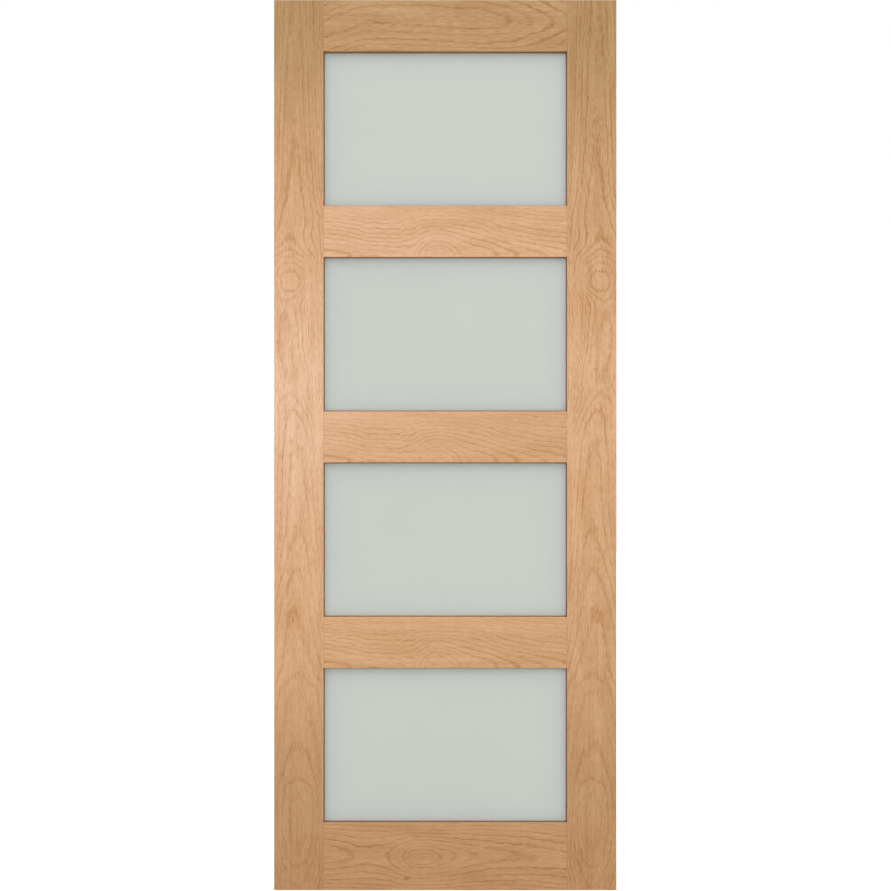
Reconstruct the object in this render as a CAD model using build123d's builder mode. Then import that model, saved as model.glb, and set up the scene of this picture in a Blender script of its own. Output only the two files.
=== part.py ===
"""Glazed shaker door leaf: two stiles, five rails and four frosted lights held in by mitred beads.

The leaf stands on z = 0 with its hinge edge on the plane x = 0. Its front face looks along -Y, and y = 0 is
the middle of its thickness. All sizes are in millimetres.
"""

import os

from build123d import *

# Leaf and members, as seen on the face
leaf_height = 1981.0
leaf_width = 762.0
leaf_thickness = 35.0
stile_width = 110.0
top_rail_width = 114.0
mid_rail_width = 114.0
bottom_rail_width = 150.0

# Glazing: the glass sits in the middle of the leaf, behind a fixed lip and in front of loose beads
glass_thickness = 5.0
rebate_width = 12.0
glass_edge_clearance = 2.0
bead_setback = 1.5

# Eased edges
leaf_edge_radius = 1.0
sight_edge_radius = 1.5
bead_edge_radius = 2.0

# Lights and the rails between them, from the top down
light_names = ("top", "upper", "lower", "bottom")
mid_rail_names = ("upper", "middle", "lower")

light_count = len(light_names)
light_width = leaf_width - 2 * stile_width
rails_total = top_rail_width + bottom_rail_width + (light_count - 1) * mid_rail_width
light_height = (leaf_height - rails_total) / light_count
light_pitch = light_height + mid_rail_width
light_centre_x = leaf_width / 2
light_centres_z = [
    leaf_height - top_rail_width - light_height / 2 - index * light_pitch for index in range(light_count)
]

lip_depth = (leaf_thickness - glass_thickness) / 2
rebate_depth = leaf_thickness - lip_depth
bead_depth = lip_depth - bead_setback
pane_cover = rebate_width - glass_edge_clearance

# Faces of the leaf and the glass: each plane looks to the front, with X across and Z up
back_face = Plane.XZ.offset(-leaf_thickness / 2)
glass_back = Plane.XZ.offset(-glass_thickness / 2)

os.makedirs("parts", exist_ok=True)


def write(piece, name):
    """Labels a finished piece and writes it as its own STEP file."""
    piece.label = name
    export_step(piece, f"parts/{name}.step")


# The glued-up frame: openings, rebates and eased edges are machined across its joints
with BuildPart() as frame:
    with BuildSketch(back_face):
        with Locations((leaf_width / 2, leaf_height / 2)):
            Rectangle(leaf_width, leaf_height)
    extrude(amount=leaf_thickness)
    fillet(frame.edges().filter_by(Axis.Z), leaf_edge_radius)

    light_places = [(light_centre_x, centre_z) for centre_z in light_centres_z]
    with BuildSketch(back_face):
        with Locations(*light_places):
            Rectangle(light_width, light_height)
    extrude(amount=leaf_thickness, mode=Mode.SUBTRACT)
    sight_edges = frame.faces().sort_by(Axis.Y)[0].inner_wires().edges()
    fillet(sight_edges, sight_edge_radius)

    with BuildSketch(back_face):
        with Locations(*light_places):
            Rectangle(light_width + 2 * rebate_width, light_height + 2 * rebate_width)
    extrude(amount=rebate_depth, mode=Mode.SUBTRACT)
    rebate_edges = frame.faces().sort_by(Axis.Y)[-1].inner_wires().edges()
    fillet(rebate_edges, leaf_edge_radius)


def frame_member(name, width, height, centre_x, centre_z):
    """Writes the length of the frame that one stile or rail makes up."""
    with BuildPart() as member:
        add(frame.part)
        with Locations((centre_x, 0, centre_z)):
            Box(width, leaf_thickness, height, mode=Mode.INTERSECT)
    write(member.part, name)


# Stiles run the full height of the leaf
for name, centre_x in (("left_stile", stile_width / 2), ("right_stile", leaf_width - stile_width / 2)):
    frame_member(name, stile_width, leaf_height, centre_x, leaf_height / 2)

# Rails butt between the stiles
frame_member("top_rail", light_width, top_rail_width, light_centre_x, leaf_height - top_rail_width / 2)
for name, centre_z in zip(mid_rail_names, light_centres_z):
    rail_centre_z = centre_z - light_pitch / 2
    frame_member(f"{name}_rail", light_width, mid_rail_width, light_centre_x, rail_centre_z)
frame_member("bottom_rail", light_width, bottom_rail_width, light_centre_x, bottom_rail_width / 2)


def glass_pane(name, centre_z):
    """Writes one sheet of glass, which reaches past the sight line into the rebate on all sides."""
    with BuildPart() as pane:
        with BuildSketch(glass_back):
            with Locations((light_centre_x, centre_z)):
                Rectangle(light_width + 2 * pane_cover, light_height + 2 * pane_cover)
        extrude(amount=glass_thickness)
    write(pane.part, name)


def rectangle_corners(width, height, centre_z):
    """Corners of a rectangle about a light's centre, anticlockwise from the lower left."""
    left, right = light_centre_x - width / 2, light_centre_x + width / 2
    low, high = centre_z - height / 2, centre_z + height / 2
    return [(left, low), (right, low), (right, high), (left, high)]


def glazing_bead(name, rebate_corners, sight_corners):
    """Writes one bead: it fills the rebate from wall to sight line and is mitred at both ends."""
    with BuildPart() as bead:
        with BuildSketch(glass_back):
            with BuildLine():
                Polyline(*rebate_corners, *reversed(sight_corners), close=True)
            make_face()
        extrude(amount=-bead_depth)
        sight_edge = bead.faces().sort_by(Axis.Y)[-1].edges().sort_by(SortBy.LENGTH)[-2]
        fillet(sight_edge, bead_edge_radius)
    write(bead.part, name)


# Each light: a pane behind the fixed lip, and four beads that hold it from the back
bead_sides = ("sill", "right", "head", "left")
for light, centre_z in zip(light_names, light_centres_z):
    glass_pane(f"{light}_pane", centre_z)
    rebate = rectangle_corners(light_width + 2 * rebate_width, light_height + 2 * rebate_width, centre_z)
    sight = rectangle_corners(light_width, light_height, centre_z)
    for start, side in enumerate(bead_sides):
        end = (start + 1) % len(bead_sides)
        glazing_bead(f"{light}_light_{side}_bead", [rebate[start], rebate[end]], [sight[start], sight[end]])
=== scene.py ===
"""Looks of a glazed oak door leaf: grain on the frame, etched panes with painted shade towards their edges,
bedding lines whose dark brown is partly painted shade, bead pins and a studio.

The leaf stands on z = 0 in metres, with its hinge edge at x = 0 and its front face looking along -Y.
"""

import logging
import math
from collections.abc import Callable
from dataclasses import dataclass
from enum import Enum
from typing import Any, NamedTuple

import bmesh
import bpy
from mathutils import Matrix, Vector


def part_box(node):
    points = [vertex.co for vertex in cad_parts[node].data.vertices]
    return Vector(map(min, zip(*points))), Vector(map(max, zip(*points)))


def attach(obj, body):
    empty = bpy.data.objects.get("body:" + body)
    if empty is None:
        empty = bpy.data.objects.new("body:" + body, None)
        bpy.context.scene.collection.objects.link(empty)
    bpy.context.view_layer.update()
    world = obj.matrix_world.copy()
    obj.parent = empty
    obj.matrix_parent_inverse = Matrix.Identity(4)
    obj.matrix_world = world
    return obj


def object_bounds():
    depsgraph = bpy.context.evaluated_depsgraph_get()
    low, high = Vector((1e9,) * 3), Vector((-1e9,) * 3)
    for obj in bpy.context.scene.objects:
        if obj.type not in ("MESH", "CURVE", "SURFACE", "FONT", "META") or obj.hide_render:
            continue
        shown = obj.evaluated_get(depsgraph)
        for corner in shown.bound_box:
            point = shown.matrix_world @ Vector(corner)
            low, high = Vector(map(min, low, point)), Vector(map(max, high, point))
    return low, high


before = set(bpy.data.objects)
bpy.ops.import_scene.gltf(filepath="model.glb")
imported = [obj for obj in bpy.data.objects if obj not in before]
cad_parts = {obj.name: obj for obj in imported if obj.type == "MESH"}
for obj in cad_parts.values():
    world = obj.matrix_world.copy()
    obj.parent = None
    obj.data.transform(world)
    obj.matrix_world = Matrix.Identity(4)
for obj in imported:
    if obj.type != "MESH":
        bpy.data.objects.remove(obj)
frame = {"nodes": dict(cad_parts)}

CAD_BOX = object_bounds()
BODY = "root"
MM = 0.001
MM_PER_M = 1000.0
AXES = "XYZ"
LIGHT_NAMES = ("top", "upper", "lower", "bottom")
WHITE = "#FFFFFF"
SMOOTH_ANGLE = math.radians(40)
LOG = logging.getLogger("door")
Socket = bpy.types.NodeSocket

# Sockets of a Mix node that blends colours
MIX_A = 6
MIX_B = 7
MIX_RESULT = 2

# Sockets of a Mix node that blends numbers
MIX_FROM = 2
MIX_TO = 3

# Mean value of Blender's noise
NOISE_MEAN = 0.5


def linear(hex_colour: str) -> tuple[float, float, float, float]:
    """Turns an sRGB hex colour into a linear one, with the sRGB standard's own numbers.

    Args:
        hex_colour: Six hex digits after a hash.

    Returns:
        Red, green, blue and an alpha of 1, linear.
    """
    parts = [int(hex_colour[start:start + 2], 16) / 255 for start in (1, 3, 5)]
    light = [part / 12.92 if part <= 0.04045 else ((part + 0.055) / 1.055) ** 2.4 for part in parts]
    return light[0], light[1], light[2], 1.0


class Shader:
    """The nodes of a material or a world, filled one node at a time.

    Attributes:
        owner: The material or world.
        tree: Its nodes and links.
    """

    def __init__(self, owner: bpy.types.Material | bpy.types.World) -> None:
        """Starts from an owner whose nodes are cleared."""
        owner.use_nodes = True
        self.owner = owner
        self.tree = owner.node_tree
        self.tree.nodes.clear()

    def add(self, kind: str, inputs: dict[int | str, Any], out: int | str = 0, **settings: Any) -> Any:
        """Adds a node with its settings, values and links.

        Args:
            kind: Blender's name for the node, without its ShaderNode prefix.
            inputs: Values to set and sockets to link, by the input's name or number.
            out: The output to hand back.
            settings: The node's own properties.

        Returns:
            The chosen output socket, or the node itself if it has no outputs.
        """
        node = self.tree.nodes.new(f"ShaderNode{kind}")
        for name, value in settings.items():
            setattr(node, name, value)
        for key, value in inputs.items():
            if isinstance(value, Socket):
                self.tree.links.new(value, node.inputs[key])
            else:
                node.inputs[key].default_value = value
        return node.outputs[out] if len(node.outputs) else node


@dataclass(frozen=True)
class Profile:
    """A smooth line through a few points, such as the depth of the heart along a board.

    Attributes:
        points: Pairs of place and value, in rising order of place.
    """

    points: tuple[tuple[float, float], ...]

    def draw(self, shader: Shader, place: Socket) -> Socket:
        """Reads the line at a place.

        Args:
            shader: The material that needs it.
            place: The place, in the points' own unit.

        Returns:
            The line's value there.
        """
        places = [point[0] for point in self.points]
        values = [point[1] for point in self.points]
        first, last, low, high = places[0], places[-1], min(values), max(values)
        share = shader.add("MapRange", {"Value": place, "From Min": first, "From Max": last})
        height = shader.add("FloatCurve", {"Value": share})
        curve = height.node.mapping.curves[0]
        while len(curve.points) < len(self.points):
            # Only a start: each point gets its place below
            curve.points.new(0.5, 0.5)
        for knot, (at, value) in zip(curve.points, self.points):
            knot.location = ((at - first) / (last - first), (value - low) / (high - low))
            knot.handle_type = "AUTO_CLAMPED"
        height.node.mapping.update()
        return shader.add("MapRange", {"Value": height, "To Min": low, "To Max": high})


@dataclass(frozen=True)
class Marks:
    """Soft random marks, drawn out along the grain.

    Attributes:
        length: Usual length of a mark, in mm.
        width: Usual width of a mark, in mm.
        layers: How many finer layers they have.
        shift: Keeps them apart from other marks.
        share: How much they count: as darkness in streaks, and in years where they bend rings.
    """

    length: float
    width: float
    layers: float = 1.0
    shift: float = 0.0
    share: float = 0.0

    def draw(self, shader: Shader, point: Socket, seed: float = 0.0, out: int | str = 0) -> Socket:
        """Adds the marks.

        Args:
            shader: The material that needs them.
            point: The place in the board, in mm.
            seed: Shifts the marks from board to board.
            out: The first output for one value, or Color for three.

        Returns:
            The marks, which are 0.5 on average.
        """
        scale = (1 / self.length, 1 / self.width, 1 / self.width)
        start = 3 * (seed + self.shift,)
        scaled = shader.add("VectorMath", {0: point, 1: scale, 2: start}, operation="MULTIPLY_ADD")
        return shader.add("TexNoise", {"Vector": scaled, "Scale": 1.0, "Detail": self.layers}, out)


class Grain(Enum):
    """Which way a board's grain runs: the leaf's axes along and across the board."""

    UPRIGHT = ("Z", "X")
    LEVEL = ("X", "Z")


@dataclass(frozen=True)
class Figure:
    """How growth rings lie in a board, which gives its flames, eyes and straight lines.

    Attributes:
        heart_across: Where the tree's heart runs, across the board, along its length, in mm.
        heart_depth: How far the heart lies in front of the face along its length, in mm.
        ring_width: Usual width of a year's growth, in mm.
        ring_start: Distance from the heart at which one of the years starts, in mm.
        feather: How ragged the rings are where they cross the grain, in years.
        bends_end: Distances from the heart between which its bends die away, in mm.
        bends_left: Share of them that is left beyond.
        heart_years: The year that the face cuts along the heart, where arches are counted one by one.
        side_years: The same along the straight grain beside it.
        strength: How strong the rings are along the board, where that changes.
        faint_end: Distances from the heart between which the rings grow faint, in mm, where they do.
    """

    heart_across: Profile
    heart_depth: Profile
    ring_width: float
    ring_start: float = 0.0
    feather: float = 0.4
    bends_end: tuple[float, float] = (25.0, 85.0)
    bends_left: float = 0.45
    heart_years: Profile | None = None
    side_years: Profile | None = None
    strength: Profile | None = None
    faint_end: tuple[float, float] | None = None


class Place(NamedTuple):
    """A place in a board, in mm, one by one and as a point."""

    along: Socket
    across: Socket
    deep: Socket
    point: Socket


@dataclass(frozen=True)
class Board:
    """One run of timber and how its figure is laid on it.

    Attributes:
        name: What the timber is used for.
        grain: Which way it runs.
        figure: Its growth rings.
        face_middle: Middle of its front face in the leaf, in metres.
        seed: Shifts its fine grain, so that two boards with one figure still differ.
        contrast: How much its rings stand out.
        lively: How much its streaks stand out against usual ones.
        paler: How much paler it is than the timber round it, from -1 to 1.
        mirrored: True if the figure is turned over from left to right.
        butt_end: From its middle to the ends that butt against other timber, in mm, or 0 with no such end.
        pin_knot: Where it has a small knot, along and across, in mm.
    """

    name: str
    grain: Grain
    figure: Figure
    face_middle: Vector
    seed: float
    contrast: float = 0.45
    lively: float = 1.0
    paler: float = 0.0
    mirrored: bool = False
    butt_end: float = 0.0
    pin_knot: tuple[float, float] | None = None

    def place(self, shader: Shader) -> Place:
        """Adds the place in the board, counted from the middle of its front face.

        Args:
            shader: The material that needs it.

        Returns:
            The place.
        """
        leaf = shader.add("TexCoord", {}, "Object")
        off = shader.add("VectorMath", {0: leaf, 1: self.face_middle}, operation="SUBTRACT")
        turn = (-MM_PER_M if self.mirrored else MM_PER_M, MM_PER_M, MM_PER_M)
        off = shader.add("VectorMath", {0: off, 1: turn}, operation="MULTIPLY")
        axes = shader.add("SeparateXYZ", {0: off}).node.outputs
        along, across = (axes[name] for name in self.grain.value)
        point = shader.add("CombineXYZ", {0: along, 1: across, 2: axes["Y"]})
        return Place(along, across, axes["Y"], point)


STILE_FIGURE = Figure(
    heart_across=Profile((
        (-990, 3), (-835, 2), (-545, 2), (-374, 8), (-189, 2), (0, 6), (73, 15), (105, 22), (149, 20),
        (190, 26), (285, 31), (320, 29), (350, 20), (367, 19), (434, 24), (463, 22), (567, 9), (690, 10),
        (990, 8),
    )),
    heart_depth=Profile((
        (-990, 80), (-790, 95), (-657, 200), (-434, 141), (-234, 90), (-100, 80), (33, 82), (73, 95),
        (122, 105), (160, 85), (211, 72), (367, 72), (405, 112), (463, 120), (567, 72), (990, 50),
    )),
    ring_width=4.4,
    feather=0.7,
    bends_end=(40.0, 75.0),
    bends_left=0.0,
    heart_years=Profile((
        (-990, 3.5), (-979, 3.2), (-941, 2.2), (-897, 1.2), (-835, 0.75), (-775, 1.2), (-741, 2.2),
        (-668, 3.2), (-545, 4.2), (-514, 5.2), (-374, 6.2), (-283, 7.2), (-189, 8.2), (0, 9.2), (73, 10.2),
        (116, 11.2), (131, 11.45), (142, 11.2), (165, 11.05), (230, 10.9), (285, 11.2), (303, 11.45),
        (320, 11.2), (343, 10.2), (365, 9.6), (387, 10.2), (405, 11.2), (419, 12.2), (434, 13.2),
        (463, 14.2), (567, 14.75), (685, 15.2), (857, 15.7), (990, 16.1),
    )),
    side_years=Profile((
        (-990, 3.5), (-835, 2.2), (-657, 3.8), (-434, 6), (-234, 8.2), (33, 10.8), (189, 12.2), (367, 12.2),
        (567, 14.8), (990, 16),
    )),
    strength=Profile((
        (-990, 0.7), (-500, 0.78), (-200, 0.9), (150, 1.0), (450, 1.05), (650, 1.2), (990, 1.2),
    )),
)
MID_RAIL_FIGURE = Figure(
    heart_across=Profile(((-271, -57), (-17, -56), (271, -57))),
    heart_depth=Profile((
        (-271, 35), (-195, 20), (-161, 10), (-110, 11), (-96, 20), (-81, 34), (-59, 30), (-36, 14), (-17, 2),
        (7, 14), (32, 31), (50, 39), (61, 41), (91, 34), (128, 28), (170, 28), (271, 36),
    )),
    ring_width=8.6,
    feather=0.3,
    bends_end=(50.0, 78.0),
    bends_left=0.0,
    heart_years=Profile((
        (-271, 2.8), (-228, 3), (-195, 3.3), (-161, 3.2), (-132, 3.4), (-110, 3.6), (-96, 4), (-81, 4.3),
        (-59, 3.2), (-36, 1.2), (-17, -0.5), (7, 1.2), (32, 3.1), (50, 4), (61, 4.3), (91, 4.6), (128, 5.5),
        (170, 6.4), (271, 8),
    )),
    side_years=Profile((
        (-271, 3.1), (-195, 2.9), (-161, 2.5), (-132, 2.7), (-110, 2.7), (-96, 3.2), (-81, 3.8), (-59, 3),
        (-36, 1.3), (-17, -0.1), (7, 1.2), (32, 2.8), (61, 3.9), (91, 4.1), (128, 5), (271, 7.3),
    )),
    faint_end=(66.0, 90.0),
)
TOP_RAIL_FIGURE = Figure(
    heart_across=Profile(((-271, -8), (-228, 8), (-139, 24), (-61, 22), (60, 16), (143, 12), (271, 8))),
    heart_depth=Profile((
        (-271, 71), (-228, 70.6), (-139, 70.6), (-61, 69.8), (60, 69.6), (110, 71.2), (143, 73.3),
        (195, 78.3), (230, 82), (271, 87),
    )),
    ring_width=5.0,
    ring_start=72.3,
    feather=0.9,
    bends_left=0.8,
)
BOTTOM_RAIL_FIGURE = Figure(
    heart_across=Profile(((-271, 6), (-150, 2), (-52, -2), (100, 2), (271, -8))),
    heart_depth=Profile((
        (-271, 32), (-215, 38), (-180, 42), (-140, 40), (-112, 32), (-85, 20), (-52, 4), (-20, 14), (20, 24),
        (70, 32), (130, 37), (200, 40), (271, 42),
    )),
    ring_width=7.5,
    feather=0.9,
)
BEAD_FIGURE = Figure(
    heart_across=Profile(((-300, 60), (0, 64), (300, 58))),
    heart_depth=Profile(((-300, 20), (0, 26), (300, 18))),
    ring_width=4.0,
)


@dataclass(frozen=True)
class Oak:
    """Sanded and clear-oiled European oak, flat sawn.

    Rings show as soft brown lines that start sharply and fade, over a pale ground with fine streaks and open
    pores along the grain. The sheen is low, and the pores lie a little below the surface.

    Attributes:
        brown: Late wood at the foot, where the timber is brownest.
        tan: Late wood at the head, which is as dark and a little yellower.
        honey: Late wood where it is between brown and pale.
        pale: Late wood where it is palest.
        honey_point: How pale the honey is, from 0 for brown to 1 for pale.
        early_tint: What the early wood makes of those colours.
        pore: The open pores.
        knot: The middle of a pin knot.
        joint: The fine line where timber butts.
        paleness: How pale the timber is, along the leaf's height in metres.
        paleness_lost: Share of that paleness that is lost towards the latch edge.
        leaf_width: Width of the leaf, in metres.
        leaf_height: Height of the leaf, in metres.
        season: How dark the wood is through one year's growth.
        fibre: Fine streaks.
        streak: Long, broader streaks.
        mottle: Broad patches.
        darkness: Mean darkness with those, before the rings are added.
        sway: Slow bends of the rings.
        wobble: Small bends of the rings.
        feather: Ragged edges of the rings along the grain.
        feather_end: Distances from the heart between which they die away, in mm.
        feather_left: Share of them that is left beyond.
        year_drift: How unevenly wide the years are.
        drift_pace: How quickly that changes from year to year.
        faint_year: Strength of the faintest year.
        patch: Where the rings are stronger or weaker.
        patch_range: Values of those marks between which the strength changes.
        patch_strength: Strength of the rings at those values.
        dashes: The pores, drawn about twice as wide as real ones so that they show.
        pore_start: How strong a dash has to be to show as a pore, in late wood and in early wood.
        pore_edge: How soft the edge of a pore is.
        pore_cover: How much of the wood's colour a pore hides.
        joint_width: Width of the joint line, in mm.
        joint_cover: How much of the wood's colour it hides.
        knot_radius: Radius of a pin knot across the grain, in mm.
        knot_squeeze: The same radius as a share of the one along the grain.
        knot_cover: How much of the wood's colour a knot hides.
        sheen: Roughness between the pores and in them.
        ior: Refraction of the oil.
        specular: Strength of its reflections, where 0.5 is usual.
        relief: Depth of the pores, in mm.
        fibre_relief: Height of the fine streaks, as a share of that.
        bump: How strongly the relief shows.
    """

    brown: str = "#BA9068"
    tan: str = "#B59163"
    honey: str = "#D7AB83"
    pale: str = "#EAC3A5"
    honey_point: float = 0.6
    early_tint: str = "#CEB281"
    pore: str = "#82582E"
    knot: str = "#6E4A2A"
    joint: str = "#8A6238"
    paleness: Profile = Profile((
        (0.0, 0.0), (0.12, 0.02), (0.51, 0.5), (0.9, 0.85), (1.1, 1.0), (1.28, 0.85), (1.49, 0.62),
        (1.68, 0.4), (1.88, 0.04), (1.981, 0.0),
    ))
    paleness_lost: float = 0.33
    leaf_width: float = 0.762
    leaf_height: float = 1.981
    season: Profile = Profile((
        (0.0, 0.1), (0.1, 0.55), (0.2, 1.0), (0.34, 0.45), (0.48, 0.12), (0.62, 0.27), (0.76, 0.12),
        (1.0, 0.08),
    ))
    fibre: Marks = Marks(18, 2.2, layers=2, share=0.9)
    streak: Marks = Marks(220, 7, layers=2, shift=3.0, share=0.4)
    mottle: Marks = Marks(140, 26, shift=5.0, share=0.55)
    darkness: float = 0.285
    sway: Marks = Marks(150, 55, shift=1.7, share=0.4)
    wobble: Marks = Marks(24, 11, shift=5.1, share=0.5)
    feather: Marks = Marks(22, 2.2, shift=7.0)
    feather_end: tuple[float, float] = (8.0, 40.0)
    feather_left: float = 0.2
    year_drift: float = 0.3
    drift_pace: float = 0.33
    faint_year: float = 0.5
    patch: Marks = Marks(130, 45, shift=9.3)
    patch_range: tuple[float, float] = (0.3, 0.7)
    patch_strength: tuple[float, float] = (0.5, 1.1)
    dashes: Marks = Marks(16, 0.7, shift=11.0)
    pore_start: tuple[float, float] = (0.64, 0.55)
    pore_edge: float = 0.08
    pore_cover: float = 0.6
    joint_width: float = 1.2
    joint_cover: float = 0.7
    knot_radius: float = 6.0
    knot_squeeze: float = 0.5
    knot_cover: float = 0.6
    sheen: tuple[float, float] = (0.46, 0.68)
    ior: float = 1.5
    specular: float = 0.35
    relief: float = 0.15
    fibre_relief: float = 0.3
    bump: float = 0.35


class OakShader(Shader):
    """The material of one board.

    Attributes:
        oak: Looks of the timber.
        board: The board.
        figure: Its growth rings.
        place: A place in it.
    """

    def __init__(self, oak: Oak, board: Board) -> None:
        """Starts the material of a board."""
        super().__init__(bpy.data.materials.new(f"oiled_oak_{board.name}"))
        self.oak = oak
        self.board = board
        self.figure = board.figure
        self.place = board.place(self)

    def fill(self) -> bpy.types.Material:
        """Adds the wood and hands back the material."""
        oak = self.oak
        rings = self.rings()
        pores = self.pores(rings)
        fibre = oak.fibre.draw(self, self.place.point, self.board.seed)
        early = {0: self.dark(rings, fibre), MIX_A: self.ground(), MIX_B: linear(oak.early_tint)}
        colour = self.add("Mix", early, MIX_RESULT, data_type="RGBA", blend_type="MULTIPLY")
        spots = [(pores, oak.pore)]
        if self.board.butt_end:
            spots.append((self.butt_line(), oak.joint))
        if self.board.pin_knot:
            spots.append((self.pin_knot(), oak.knot))
        for amount, tint in spots:
            colour = self.add(
                "Mix", {0: amount, MIX_A: colour, MIX_B: linear(tint)}, MIX_RESULT, data_type="RGBA"
            )
        smooth, open_grain = oak.sheen
        rough = self.add("MapRange", {"Value": pores, "To Min": smooth, "To Max": open_grain})
        height = self.add("Math", {0: fibre, 1: oak.fibre_relief}, operation="MULTIPLY")
        height = self.add("Math", {0: height, 1: pores}, operation="SUBTRACT")
        bump = self.add("Bump", {"Strength": oak.bump, "Distance": oak.relief * MM, "Height": height})
        surface = self.add(
            "BsdfPrincipled",
            {
                "Base Color": colour, "Roughness": rough, "IOR": oak.ior, "Specular IOR Level": oak.specular,
                "Normal": bump,
            },
        )
        self.add("OutputMaterial", {"Surface": surface})
        return self.owner

    def ground(self) -> Socket:
        """Adds the colour of the late wood, which drifts with height and across the leaf."""
        oak = self.oak
        axes = self.add("SeparateXYZ", {0: self.add("TexCoord", {}, "Object")}).node.outputs
        least = 1.0 - oak.paleness_lost
        kept = self.add(
            "MapRange", {"Value": axes["X"], "From Max": oak.leaf_width, "To Min": 1.0, "To Max": least}
        )
        pale = oak.paleness.draw(self, axes["Z"])
        pale = self.add("Math", {0: pale, 1: kept, 2: self.board.paler}, operation="MULTIPLY_ADD")
        rise = self.add("MapRange", {"Value": axes["Z"], "From Max": oak.leaf_height})
        to_honey = self.add("MapRange", {"Value": pale, "From Max": oak.honey_point})
        to_pale = self.add("MapRange", {"Value": pale, "From Min": oak.honey_point})
        ground = linear(oak.brown)
        for amount, tint in ((rise, oak.tan), (to_honey, oak.honey), (to_pale, oak.pale)):
            ground = self.add(
                "Mix", {0: amount, MIX_A: ground, MIX_B: linear(tint)}, MIX_RESULT, data_type="RGBA"
            )
        return ground

    def dark(self, rings: Socket, fibre: Socket) -> Socket:
        """Adds up how far the wood is from late to early wood, with its streaks.

        Args:
            rings: The growth rings.
            fibre: The fine streaks.

        Returns:
            The darkness, from 0 to 1.
        """
        oak = self.oak
        streaks = [(fibre, oak.fibre.share * self.board.lively)]
        for marks in (oak.streak, oak.mottle):
            drawn = marks.draw(self, self.place.point, self.board.seed)
            streaks.append((drawn, marks.share * self.board.lively))
        dark = oak.darkness - NOISE_MEAN * sum(share for _, share in streaks)
        for drawn, share in (*streaks, (rings, self.board.contrast)):
            dark = self.add("Math", {0: drawn, 1: share, 2: dark}, operation="MULTIPLY_ADD")
        return self.add("Clamp", {0: dark})

    def rings(self) -> Socket:
        """Adds the growth rings: shells round a heart that wanders along the board.

        Returns:
            The rings, 0 in late wood and 1 in the darkest early wood.
        """
        heart = self.figure.heart_across.draw(self, self.place.along)
        aside = self.add("Math", {0: self.place.across, 1: heart}, operation="SUBTRACT")
        gap = self.add("Math", {0: aside}, operation="ABSOLUTE")
        years = self.fray(gap, self.years(aside, gap))
        line = self.oak.season.draw(self, self.add("Math", {0: years}, operation="FRACT"))
        for strength in self.strengths(gap, years):
            line = self.add("Math", {0: line, 1: strength}, operation="MULTIPLY")
        return line

    def years(self, aside: Socket, gap: Socket) -> Socket:
        """Counts the years of growth at a place, from its distance to the heart.

        Args:
            aside: How far it lies to one side of the heart, in mm.
            gap: The same without its sign.

        Returns:
            The years.
        """
        oak, figure, along = self.oak, self.figure, self.place.along
        counted = figure.heart_years is not None
        depth = figure.heart_depth.draw(self, along)
        near, far = figure.bends_end
        bends = self.add(
            "MapRange",
            {"Value": gap, "From Min": near, "From Max": far, "To Min": 1.0, "To Max": figure.bends_left},
            interpolation_type="SMOOTHSTEP",
        )
        if not counted:
            depth = self.add("Math", {0: depth, 1: bends}, operation="MULTIPLY")
        below = self.add("Math", {0: self.place.deep, 1: depth}, operation="ADD")
        spoke = self.add("CombineXYZ", {0: aside, 1: below})
        for marks in (oak.sway, oak.wobble):
            reach = marks.share * figure.ring_width
            mean = NOISE_MEAN * reach
            bend = marks.draw(self, self.place.point, out="Color")
            spoke = self.add(
                "VectorMath", {0: bend, 1: (reach, reach, 0), 2: spoke}, operation="MULTIPLY_ADD"
            )
            spoke = self.add("VectorMath", {0: spoke, 1: (mean, mean, 0)}, operation="SUBTRACT")
        radius = self.add("VectorMath", {0: spoke}, "Value", operation="LENGTH")
        start = depth if counted else figure.ring_start
        years = self.add("Math", {0: radius, 1: start}, operation="SUBTRACT")
        years = self.add("Math", {0: years, 1: figure.ring_width}, operation="DIVIDE")
        if counted:
            here = figure.heart_years.draw(self, along)
            beside = figure.side_years.draw(self, along)
            here = self.add("Mix", {0: bends, MIX_FROM: beside, MIX_TO: here})
            years = self.add("Math", {0: years, 1: here}, operation="ADD")
        return years

    def fray(self, gap: Socket, years: Socket) -> Socket:
        """Makes the years ragged along the grain and unevenly wide.

        Args:
            gap: Distance from the heart on the face, in mm.
            years: The years, counted evenly.

        Returns:
            The years as they grew.
        """
        oak = self.oak
        most = self.figure.feather
        least = oak.feather_left * most
        near, far = oak.feather_end
        ragged = self.add(
            "MapRange", {"Value": gap, "From Min": near, "From Max": far, "To Min": most, "To Max": least}
        )
        feather = oak.feather.draw(self, self.place.point, self.board.seed)
        feather = self.add("Math", {0: feather, 1: NOISE_MEAN}, operation="SUBTRACT")
        years = self.add("Math", {0: feather, 1: ragged, 2: years}, operation="MULTIPLY_ADD")
        drift = self.add(
            "TexNoise", {"W": years, "Scale": oak.drift_pace, "Detail": 1.0}, noise_dimensions="1D"
        )
        drift = self.add("Math", {0: drift, 1: NOISE_MEAN}, operation="SUBTRACT")
        return self.add("Math", {0: drift, 1: oak.year_drift, 2: years}, operation="MULTIPLY_ADD")

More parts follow.
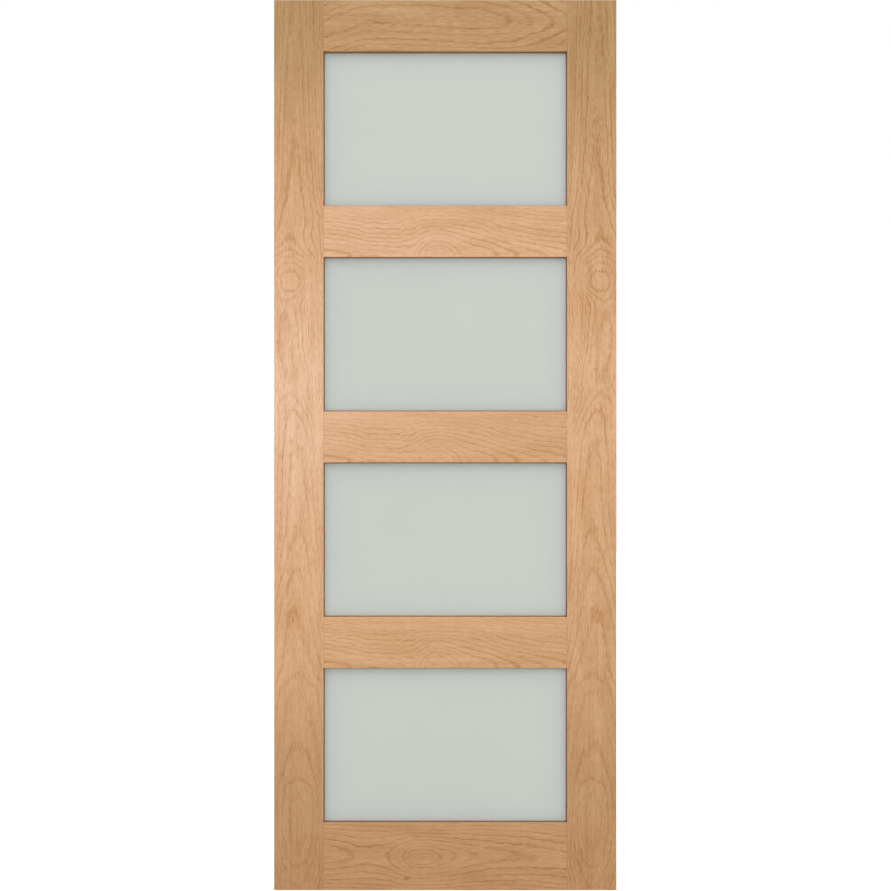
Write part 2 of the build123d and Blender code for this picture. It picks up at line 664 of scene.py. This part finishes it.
    def strengths(self, gap: Socket, years: Socket) -> list[Socket]:
        """Adds what makes the rings stronger or fainter.

        Args:
            gap: Distance from the heart on the face, in mm.
            years: The years as they grew.

        Returns:
            Strengths to multiply.
        """
        oak, figure = self.oak, self.figure
        year = self.add("Math", {0: years}, operation="FLOOR")
        chance = self.add("TexWhiteNoise", {"W": year}, noise_dimensions="1D")
        strengths = [self.add("MapRange", {"Value": chance, "To Min": oak.faint_year})]
        patch = oak.patch.draw(self, self.place.point)
        (low, high), (weak, strong) = oak.patch_range, oak.patch_strength
        strengths.append(self.add(
            "MapRange", {"Value": patch, "From Min": low, "From Max": high, "To Min": weak, "To Max": strong}
        ))
        if figure.strength is not None:
            strengths.append(figure.strength.draw(self, self.place.along))
        if figure.faint_end is not None:
            near, far = figure.faint_end
            strengths.append(self.add(
                "MapRange",
                {"Value": gap, "From Min": near, "From Max": far, "To Min": 1.0, "To Max": oak.faint_year},
            ))
        return strengths

    def pores(self, rings: Socket) -> Socket:
        """Adds the open pores, which crowd in the early wood of the rings."""
        oak = self.oak
        late, early = oak.pore_start
        dashes = oak.dashes.draw(self, self.place.point, self.board.seed)
        start = self.add("MapRange", {"Value": rings, "To Min": late, "To Max": early})
        over = self.add("Math", {0: dashes, 1: start}, operation="SUBTRACT")
        return self.add("MapRange", {"Value": over, "From Max": oak.pore_edge, "To Max": oak.pore_cover})

    def butt_line(self) -> Socket:
        """Adds the fine line at the board's ends, where it butts against other timber."""
        reach = self.add("Math", {0: self.place.along}, operation="ABSOLUTE")
        end = self.board.butt_end
        start = end - self.oak.joint_width
        return self.add(
            "MapRange", {"Value": reach, "From Min": start, "From Max": end, "To Max": self.oak.joint_cover}
        )

    def pin_knot(self) -> Socket:
        """Adds the dark spot of a small knot."""
        oak = self.oak
        middle = (*self.board.pin_knot, 0)
        squeeze = (oak.knot_squeeze, 1.0, 1.0)
        off = self.add("VectorMath", {0: self.place.point, 1: middle}, operation="SUBTRACT")
        off = self.add("VectorMath", {0: off, 1: squeeze}, operation="MULTIPLY")
        off = self.add("VectorMath", {0: off}, "Value", operation="LENGTH")
        return self.add(
            "MapRange", {"Value": off, "From Max": oak.knot_radius, "To Min": oak.knot_cover, "To Max": 0.0},
            interpolation_type="SMOOTHSTEP",
        )


@dataclass(frozen=True)
class EtchedGlass:
    """Float glass with an acid-etched face: pale grey-green, and cloudy, so that only light comes through.

    Towards its edge the colour is painted a little greener and darker, as painted shade where the rebate
    hides the light behind it.

    Attributes:
        tint: Colour of the sheet against white.
        cloud_tint: Colour where the etching is a little denser.
        edge_shade_tint: Painted shade colour at the edge.
        edge_shade_reach: How far in from the edge that painted shade fades, in metres.
        ior: Refraction of float glass.
        clear_share: Share of the light that comes through.
        roughness: Roughness of the etching, where it is finest and coarsest.
        cloud_size: Size of the clouds in the etching, in mm.
        cloud_layers: How many finer layers the clouds have.
        cloud_edge: How strong those layers are.
        etch_grit: Size of the etched grain, in mm, drawn coarse so that it shows.
        etch_depth: Depth of the etched grain, in mm.
        bump: How strongly that shows.
    """

    tint: str = "#CED1CB"
    cloud_tint: str = "#C9CEC7"
    edge_shade_tint: str = "#C7CECA"
    edge_shade_reach: float = 0.085
    ior: float = 1.52
    clear_share: float = 0.3
    roughness: tuple[float, float] = (0.45, 0.55)
    cloud_size: float = 120.0
    cloud_layers: float = 2.0
    cloud_edge: float = 0.6
    etch_grit: float = 1.2
    etch_depth: float = 0.05
    bump: float = 0.08

    def edge(self, shader: Shader, place: Socket, low: Vector, high: Vector) -> Socket:
        """Tells how near the edge of the pane a place is, which sets where the painted shade lies.

        Args:
            shader: The material that needs it.
            place: The place in the leaf, in metres.
            low: Lowest corner of the daylight.
            high: Highest corner of the daylight.

        Returns:
            A value of 1 at the edge and 0 beyond its reach.
        """
        middle, half = (low + high) / 2, (high - low) / 2
        off = shader.add("VectorMath", {0: place, 1: middle}, operation="SUBTRACT")
        off = shader.add("VectorMath", {0: off}, operation="ABSOLUTE")
        inward = shader.add("VectorMath", {0: half, 1: off}, operation="SUBTRACT")
        axes = shader.add("SeparateXYZ", {0: inward}).node.outputs
        nearest = shader.add("Math", {0: axes["X"], 1: axes["Z"]}, operation="MINIMUM")
        return shader.add(
            "MapRange", {"Value": nearest, "From Max": self.edge_shade_reach, "To Min": 1.0, "To Max": 0.0},
            interpolation_type="SMOOTHSTEP",
        )

    def material(self, name: str, low: Vector, high: Vector) -> bpy.types.Material:
        """Makes the finish of one pane.

        Args:
            name: Which pane it is.
            low: Lowest corner of the daylight.
            high: Highest corner of the daylight.

        Returns:
            The material.
        """
        shader = Shader(bpy.data.materials.new(f"acid_etched_glass_{name}"))
        place = shader.add("TexCoord", {}, "Object")
        cloud = shader.add(
            "TexNoise",
            {
                "Vector": place, "Scale": MM_PER_M / self.cloud_size, "Detail": self.cloud_layers,
                "Roughness": self.cloud_edge,
            },
        )
        edge = self.edge(shader, place, low, high)
        colour = linear(self.tint)
        # Painted shade: the pane's colour turns greener and darker towards its edge
        for amount, tint in ((cloud, self.cloud_tint), (edge, self.edge_shade_tint)):
            colour = shader.add(
                "Mix", {0: amount, MIX_A: colour, MIX_B: linear(tint)}, MIX_RESULT, data_type="RGBA"
            )
        grit = shader.add("TexNoise", {"Vector": place, "Scale": MM_PER_M / self.etch_grit, "Detail": 1.0})
        fine, coarse = self.roughness
        rough = shader.add("MapRange", {"Value": grit, "To Min": fine, "To Max": coarse})
        bump = shader.add("Bump", {"Strength": self.bump, "Distance": self.etch_depth * MM, "Height": grit})
        surface = shader.add(
            "BsdfPrincipled",
            {
                "Base Color": colour, "Roughness": rough, "IOR": self.ior,
                "Transmission Weight": self.clear_share, "Normal": bump,
            },
        )
        shader.add("OutputMaterial", {"Surface": surface})
        return shader.owner


@dataclass(frozen=True)
class SmallFinish:
    """Finish of the trim, which changes softly from spot to spot between clean and dull.

    Attributes:
        name: What it is.
        clean: Colour where it is clean.
        dull: Colour where it is dusty or scuffed.
        roughness: Roughness where it is clean and where it is dull.
        spot_size: Size of the spots, in mm.
        spot_layers: How many finer layers they have.
        ior: Refraction.
        metallic: 1 for bare metal.
        ripple: Height of the spots, in mm.
        bump: How strongly that shows, or 0 where they are flat.
    """

    name: str
    clean: str
    dull: str
    roughness: tuple[float, float]
    spot_size: float
    spot_layers: float = 2.0
    ior: float = 1.5
    metallic: float = 0.0
    ripple: float = 0.0
    bump: float = 0.0

    def material(self) -> bpy.types.Material:
        """Makes the finish."""
        shader = Shader(bpy.data.materials.new(self.name))
        place = shader.add("TexCoord", {}, "Object")
        spots = shader.add(
            "TexNoise", {"Vector": place, "Scale": MM_PER_M / self.spot_size, "Detail": self.spot_layers}
        )
        tints = {0: spots, MIX_A: linear(self.clean), MIX_B: linear(self.dull)}
        colour = shader.add("Mix", tints, MIX_RESULT, data_type="RGBA")
        smooth, rough = self.roughness
        rough = shader.add("MapRange", {"Value": spots, "To Min": smooth, "To Max": rough})
        looks = {"Base Color": colour, "Roughness": rough, "IOR": self.ior, "Metallic": self.metallic}
        if self.bump:
            relief = {"Strength": self.bump, "Distance": self.ripple * MM, "Height": spots}
            looks["Normal"] = shader.add("Bump", relief)
        shader.add("OutputMaterial", {"Surface": shader.add("BsdfPrincipled", looks)})
        return shader.owner


# Brown glazing silicone, tooled to a small cove: a dark, even line with a slight gloss. Its dark brown is
# partly the silicone's own colour and partly painted shade, standing in for the shadow line where the glass
# meets the frame
BEDDING_AND_SHADE_LINE = SmallFinish(
    "brown_glazing_silicone", "#5E4427", "#725534", (0.4, 0.6), spot_size=14.0, ior=1.41, ripple=0.1, bump=0.2
)

# Bright drawn steel with a struck head: grey metal, a little scuffed
PIN_STEEL = SmallFinish("drawn_steel_pin", "#B9B7B2", "#8E8B85", (0.3, 0.5), spot_size=0.6, metallic=1.0)


def dress(node: bpy.types.Object, material: bpy.types.Material) -> None:
    """Gives a piece one material all over."""
    node.data.materials.clear()
    node.data.materials.append(material)


def face_middle(box: tuple[Vector, Vector]) -> Vector:
    """Middle of the front face of a box."""
    low, high = box
    return Vector(((low.x + high.x) / 2, low.y, (low.z + high.z) / 2))


def start_piece(name: str) -> bpy.types.Object:
    """Names the primitive that was just added, puts its place into its mesh and hands it back."""
    piece = bpy.context.active_object
    piece.name = name
    piece.data.name = name
    bpy.ops.object.transform_apply(location=True, rotation=True, scale=True)
    return piece


class Pick(Enum):
    """What is picked in edit mode, with Blender's word for it."""

    EDGES = "EDGE"
    FACES = "FACE"


def keep_selected(piece: bpy.types.Object, pick: Pick, test: Callable[[Vector], bool]) -> None:
    """Selects the edges or faces of a piece in edit mode that pass a test of their middle.

    Args:
        piece: The piece in edit mode.
        pick: Whether edges or faces are picked.
        test: Takes the middle of an edge or face and says whether it is wanted.
    """
    bpy.ops.mesh.select_all(action="DESELECT")
    bpy.ops.mesh.select_mode(type=pick.value)
    cage = bmesh.from_edit_mesh(piece.data)
    for part in cage.edges if pick is Pick.EDGES else cage.faces:
        middle = sum((corner.co for corner in part.verts), Vector()) / len(part.verts)
        part.select_set(test(middle))
    bmesh.update_edit_mesh(piece.data)


def settle(piece: bpy.types.Object, material: bpy.types.Material) -> None:
    """Dresses a new piece and fixes it to the leaf.

    Args:
        piece: The finished piece.
        material: Its finish.
    """
    bpy.ops.object.shade_smooth_by_angle(angle=SMOOTH_ANGLE)
    dress(piece, material)
    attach(piece, BODY)
    LOG.info("%s: %d faces", piece.name, len(piece.data.polygons))


@dataclass
class OakFrame:
    """The stiles and rails, which keep their shape and get their timber's grain.

    Attributes:
        finish: The timber.
    """

    finish: Oak

    def stile(self, node: str, **looks: Any) -> Board:
        """Lays the upright figure on a stile, with further looks of the board."""
        return Board(node, Grain.UPRIGHT, STILE_FIGURE, face_middle(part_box(node)), **looks)

    def rail(self, node: str, figure: Figure, **looks: Any) -> Board:
        """Lays a figure on a rail, which butts against the stiles, with further looks of the board."""
        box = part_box(node)
        butt_end = (box[1].x - box[0].x) * MM_PER_M / 2
        return Board(node, Grain.LEVEL, figure, face_middle(box), butt_end=butt_end, **looks)

    def dress(self, nodes: dict[str, bpy.types.Object]) -> None:
        """Gives each member its own timber.

        Args:
            nodes: The leaf's solids by name.
        """
        boards = [
            self.stile("left_stile", seed=1.0, contrast=0.41, lively=1.1, mirrored=True),
            self.stile("right_stile", seed=2.0, contrast=0.5, lively=1.3),
            self.rail("top_rail", TOP_RAIL_FIGURE, seed=3.0, contrast=0.55, lively=1.35, paler=0.14),
            self.rail("upper_rail", MID_RAIL_FIGURE, seed=5.0, contrast=0.49, lively=0.9, paler=0.2),
            self.rail("middle_rail", MID_RAIL_FIGURE, seed=6.0, contrast=0.43, lively=0.75, paler=-0.18),
            self.rail("lower_rail", MID_RAIL_FIGURE, seed=7.0, contrast=0.45, lively=0.8, paler=0.05),
            self.rail(
                "bottom_rail", BOTTOM_RAIL_FIGURE, seed=4.0, contrast=0.54, lively=0.95, paler=0.14,
                pin_knot=(-86.0, -49.0),
            ),
        ]
        for board in boards:
            dress(nodes[board.name], OakShader(self.finish, board).fill())
            LOG.info("%s: grain %s", board.name, board.grain.name.lower())


class PaneFace(Enum):
    """Faces of a pane, with the way that each looks along Y."""

    FRONT = -1.0
    BACK = 1.0


class BeadSide(Enum):
    """Sides of a light: the run of the bead's grain, and the way out of the light across the bead."""

    HEAD = (Grain.LEVEL, 1)
    SILL = (Grain.LEVEL, -1)
    LEFT = (Grain.UPRIGHT, -1)
    RIGHT = (Grain.UPRIGHT, 1)


@dataclass
class GlazedLight:
    """One light: its pane, the beads behind it, the bedding round it and the pins in the beads.

    Attributes:
        name: Which light it is.
        bedding_width: Width and height of the bedding line, in metres.
        bedding_round: How far its free edge is rounded off, in metres.
        bedding_steps: Faces in that rounding.
        bedding_crest: Share of the width and height beyond which only the free edge lies.
        pin_radius: Radius of a pin's head, in metres.
        pin_stand: How far the head stands out of the bead, in metres.
        pin_sides: Sides of the head.
        pin_ease: How far its edge is eased, in metres.
        pin_steps: Faces in that easing.
        pin_rim: Width of the rim round the struck hollow, in metres.
        pin_hollow: Depth of the struck hollow, in metres.
        pin_inset: From the bead's outer edge to the pins, in metres.
        pin_end: From a bead's end to its first pin, in metres.
        level_pins: Pins in the head bead, and in the sill bead.
        upright_pins: Pins in each side bead.
        touch: Distance within which two faces count as one, in metres.
    """

    name: str
    bedding_width: float = 1.8 * MM
    bedding_round: float = 1.2 * MM
    bedding_steps: int = 4
    bedding_crest: float = 0.75
    pin_radius: float = 0.9 * MM
    pin_stand: float = 0.25 * MM
    pin_sides: int = 16
    pin_ease: float = 0.12 * MM
    pin_steps: int = 2
    pin_rim: float = 0.3 * MM
    pin_hollow: float = 0.12 * MM
    pin_inset: float = 5.0 * MM
    pin_end: float = 45.0 * MM
    level_pins: int = 5
    upright_pins: int = 3
    touch: float = 0.01 * MM

    def bead(self, side: BeadSide) -> str:
        """Name of the bead on one side."""
        return f"{self.name}_light_{side.name.lower()}_bead"

    def sight(self) -> tuple[Vector, Vector]:
        """Lowest and highest corner of the daylight between the beads."""
        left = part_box(self.bead(BeadSide.LEFT))[1].x
        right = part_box(self.bead(BeadSide.RIGHT))[0].x
        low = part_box(self.bead(BeadSide.SILL))[1].z
        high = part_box(self.bead(BeadSide.HEAD))[0].z
        front, back = (corner.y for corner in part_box(f"{self.name}_pane"))
        return Vector((left, front, low)), Vector((right, back, high))

    def build_bedding(self, face: PaneFace, material: bpy.types.Material) -> None:
        """Models the cove of bedding on one face of the pane.

        Args:
            face: The face.
            material: Its finish.
        """
        low, high = self.sight()
        middle, size = (low + high) / 2, high - low
        outward = face.value
        glass = low.y if face is PaneFace.FRONT else high.y
        bpy.ops.object.select_all(action="DESELECT")
        bpy.ops.mesh.primitive_plane_add(
            size=1, location=(middle.x, glass, middle.z), rotation=(-outward * math.pi / 2, 0, 0)
        )
        bpy.context.active_object.scale = (size.x, size.z, 1)
        piece = start_piece(f"{self.name}_light_{face.name.lower()}_bedding")
        bpy.ops.object.mode_set(mode="EDIT")
        bpy.ops.mesh.select_all(action="SELECT")
        bpy.ops.mesh.inset(thickness=self.bedding_width)
        bpy.ops.mesh.delete(type="FACE")
        bpy.ops.mesh.select_all(action="SELECT")
        rise = (0, outward * self.bedding_width, 0)
        bpy.ops.mesh.extrude_region_move(TRANSFORM_OT_translate={"value": rise})
        crest = self.bedding_crest * self.bedding_width

        def on_free_edge(place: Vector) -> bool:
            """True on the edge that is furthest from the glass and nearest to the middle of the pane."""
            inward = min(size.x / 2 - abs(place.x - middle.x), size.z / 2 - abs(place.z - middle.z))
            return inward > crest and (place.y - glass) * outward > crest

        keep_selected(piece, Pick.EDGES, on_free_edge)
        bpy.ops.mesh.bevel(offset=self.bedding_round, segments=self.bedding_steps, affect="EDGES")
        bpy.ops.mesh.select_all(action="SELECT")
        bpy.ops.mesh.normals_make_consistent(inside=False)
        bpy.ops.object.mode_set(mode="OBJECT")
        settle(piece, material)

    def pin_places(self) -> list[Vector]:
        """Where the pins stand, on the back faces of the four beads."""
        places = []
        for side in BeadSide:
            grain, outward = side.value
            along, across = (AXES.index(name) for name in grain.value)
            low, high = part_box(self.bead(side))
            count = self.level_pins if grain is Grain.LEVEL else self.upright_pins
            step = (high[along] - low[along] - 2 * self.pin_end) / (count - 1)
            for index in range(count):
                place = high.copy()
                place[along] = low[along] + self.pin_end + index * step
                place[across] = high[across] - self.pin_inset if outward > 0 else low[across] + self.pin_inset
                places.append(place)
        return places

    def build_pins(self, material: bpy.types.Material) -> None:
        """Models one pin head, with its rim eased and a struck hollow, and copies it along the beads.

        Args:
            material: Its finish.
        """
        first, *others = self.pin_places()
        bpy.ops.object.select_all(action="DESELECT")
        bpy.ops.mesh.primitive_cylinder_add(
            vertices=self.pin_sides, radius=self.pin_radius, depth=2 * self.pin_stand, location=first,
            rotation=(math.pi / 2, 0, 0),
        )
        piece = start_piece(f"{self.name}_light_pins")
        crown = first.y + self.pin_stand - self.touch
        bpy.ops.object.mode_set(mode="EDIT")
        keep_selected(piece, Pick.FACES, lambda middle: middle.y > crown)
        bpy.ops.mesh.bevel(offset=self.pin_ease, segments=self.pin_steps, affect="EDGES")
        keep_selected(piece, Pick.FACES, lambda middle: middle.y > crown)
        bpy.ops.mesh.inset(thickness=self.pin_rim)
        bpy.ops.transform.translate(value=(0, -self.pin_hollow, 0))
        bpy.ops.object.mode_set(mode="OBJECT")
        copies = []
        for place in others:
            copy = piece.copy()
            copy.data = piece.data.copy()
            copy.data.transform(Matrix.Translation(place - first))
            bpy.context.collection.objects.link(copy)
            copies.append(copy)
        bpy.ops.object.select_all(action="DESELECT")
        for part in [*copies, piece]:
            part.select_set(True)
        bpy.context.view_layer.objects.active = piece
        bpy.ops.object.join()
        settle(piece, material)

    def dress(
        self, nodes: dict[str, bpy.types.Object], glass: EtchedGlass, beads: dict[Grain, bpy.types.Material]
    ) -> None:
        """Gives the pane and its beads their finish.

        Args:
            nodes: The leaf's solids by name.
            glass: Finish of the pane.
            beads: Finish of the beads, by the way their grain runs.
        """
        dress(nodes[f"{self.name}_pane"], glass.material(self.name, *self.sight()))
        for side in BeadSide:
            grain, _ = side.value
            dress(nodes[self.bead(side)], beads[grain])
        LOG.info("%s light: pane and beads", self.name)


@dataclass
class Studio:
    """White studio: floor, soft overhead and fill light, white surroundings and the camera.

    Attributes:
        leaf_low: Lowest corner of the leaf.
        leaf_high: Highest corner of the leaf.
        image_size: Width and height of the picture, in pixels.
        leaf_top_px: Where the leaf's top edge lies in the picture.
        leaf_bottom_px: Where its bottom edge lies.
        leaf_middle_px: Where its upright centre line lies.
        lens: Focal length of the camera, in mm.
        sensor: Width of its sensor, in mm.
        surround_light: Strength of the surroundings as a light.
        key_strength: Strength of the lamp in front of the leaf.
        key_height: Its height above the horizon, in degrees.
        back_strength: Strength of the lamp behind the leaf.
        back_height: Its height above the horizon, in degrees.
        back_bearing: How far it stands round from the leaf's front, in degrees.
        lamp_softness: How broad the lamps look from the leaf, in degrees.
        floor_size: Width of the floor, in metres.
        floor_colour: Colour of the floor.
        floor_lift: How much brighter the floor looks than it is.
    """

    leaf_low: Vector
    leaf_high: Vector
    image_size: float = 891.0
    leaf_top_px: float = 0.0
    leaf_bottom_px: float = 890.1
    leaf_middle_px: float = 445.25
    lens: float = 85.0
    sensor: float = 36.0
    surround_light: float = 0.62
    key_strength: float = 1.7
    key_height: float = 50.0
    back_strength: float = 1.0
    back_height: float = 40.0
    back_bearing: float = 160.0
    lamp_softness: float = 75.0
    floor_size: float = 30.0
    floor_colour: str = "#E8E8E6"
    floor_lift: float = 0.3

    def build(self) -> None:
        """Builds the whole studio."""
        self.build_floor()
        self.build_world()
        self.build_lamp("key_light", self.key_height, 0.0, self.key_strength)
        self.build_lamp("back_fill", self.back_height, self.back_bearing, self.back_strength)
        self.build_camera()

    def seen(self, shader: Shader) -> Socket:
        """Adds up the rays that look at the white surroundings.

        Args:
            shader: The nodes that need the sum.

        Returns:
            A value of 1 for camera, glossy and transmission rays.
        """
        rays = shader.add("LightPath", {}).node.outputs
        total = rays["Is Camera Ray"]
        for name in ("Is Glossy Ray", "Is Transmission Ray"):
            total = shader.add("Math", {0: total, 1: rays[name]}, operation="MAXIMUM")
        return total

    def build_floor(self) -> None:
        """Lays a pale floor that looks white and keeps the leaf's shadow."""
        bpy.ops.object.select_all(action="DESELECT")
        bpy.ops.mesh.primitive_plane_add(size=self.floor_size, location=(0, 0, self.leaf_low.z))
        floor = start_piece("studio_floor")
        shader = Shader(bpy.data.materials.new("white_studio_floor"))
        matte = shader.add("BsdfDiffuse", {"Color": linear(self.floor_colour)})
        amount = shader.add("Math", {0: self.seen(shader), 1: self.floor_lift}, operation="MULTIPLY")
        glow = shader.add("Emission", {"Strength": amount})
        both = shader.add("AddShader", {0: matte, 1: glow})
        shader.add("OutputMaterial", {"Surface": both})
        dress(floor, shader.owner)

    def build_world(self) -> None:
        """Makes the surroundings white to the eye and softer as a light."""
        shader = Shader(bpy.data.worlds.new("white_studio"))
        strength = shader.add(
            "MapRange", {"Value": self.seen(shader), "To Min": self.surround_light, "To Max": 1.0}
        )
        sky = shader.add("Background", {"Color": linear(WHITE), "Strength": strength})
        shader.add("OutputWorld", {"Surface": sky})
        bpy.context.scene.world = shader.owner

    def build_lamp(self, name: str, height: float, bearing: float, strength: float) -> None:
        """Hangs one broad soft lamp.

        Args:
            name: Name of the lamp.
            height: Its height above the horizon, in degrees.
            bearing: How far it stands round from the leaf's front, in degrees.
            strength: Its strength.
        """
        lamp = bpy.data.lights.new(name, "SUN")
        lamp.energy = strength
        lamp.angle = math.radians(self.lamp_softness)
        holder = bpy.data.objects.new(name, lamp)
        holder.rotation_euler = (math.pi / 2 - math.radians(height), 0, math.radians(bearing))
        bpy.context.collection.objects.link(holder)

    def build_camera(self) -> None:
        """Stands the camera square to the front face, so that the leaf fills the picture as photographed."""
        height = self.leaf_high.z - self.leaf_low.z
        pixel = height / (self.leaf_bottom_px - self.leaf_top_px)
        field = pixel * self.image_size
        camera = bpy.data.cameras.new("camera")
        camera.lens = self.lens
        camera.sensor_width = self.sensor
        holder = bpy.data.objects.new("camera", camera)
        middle_x = (self.leaf_low.x + self.leaf_high.x) / 2
        holder.location = (
            middle_x + (self.image_size / 2 - self.leaf_middle_px) * pixel,
            self.leaf_low.y - field * self.lens / self.sensor,
            self.leaf_high.z - (self.image_size / 2 - self.leaf_top_px) * pixel,
        )
        holder.rotation_euler = (math.pi / 2, 0, 0)
        bpy.context.collection.objects.link(holder)
        bpy.context.scene.camera = holder


def main() -> None:
    """Dresses the leaf, adds its trim and sets up the studio."""
    logging.basicConfig(level=logging.INFO, format="%(name)s: %(message)s")
    bpy.context.scene.view_settings.view_transform = "Standard"
    nodes = frame["nodes"]
    middle = face_middle(CAD_BOX)
    oak = Oak()
    OakFrame(oak).dress(nodes)
    level = Board("level_bead", Grain.LEVEL, BEAD_FIGURE, middle, seed=21.0)
    upright = Board("upright_bead", Grain.UPRIGHT, BEAD_FIGURE, middle, seed=22.0)
    beads = {board.grain: OakShader(oak, board).fill() for board in (level, upright)}
    glass = EtchedGlass()
    # Dark bedding: partly brown silicone, partly a painted shadow line round each pane
    bedding = BEDDING_AND_SHADE_LINE.material()
    steel = PIN_STEEL.material()
    for name in LIGHT_NAMES:
        light = GlazedLight(name)
        light.dress(nodes, glass, beads)
        for face in PaneFace:
            light.build_bedding(face, bedding)
        light.build_pins(steel)
    Studio(*CAD_BOX).build()


if __name__ == "__main__":
    main()
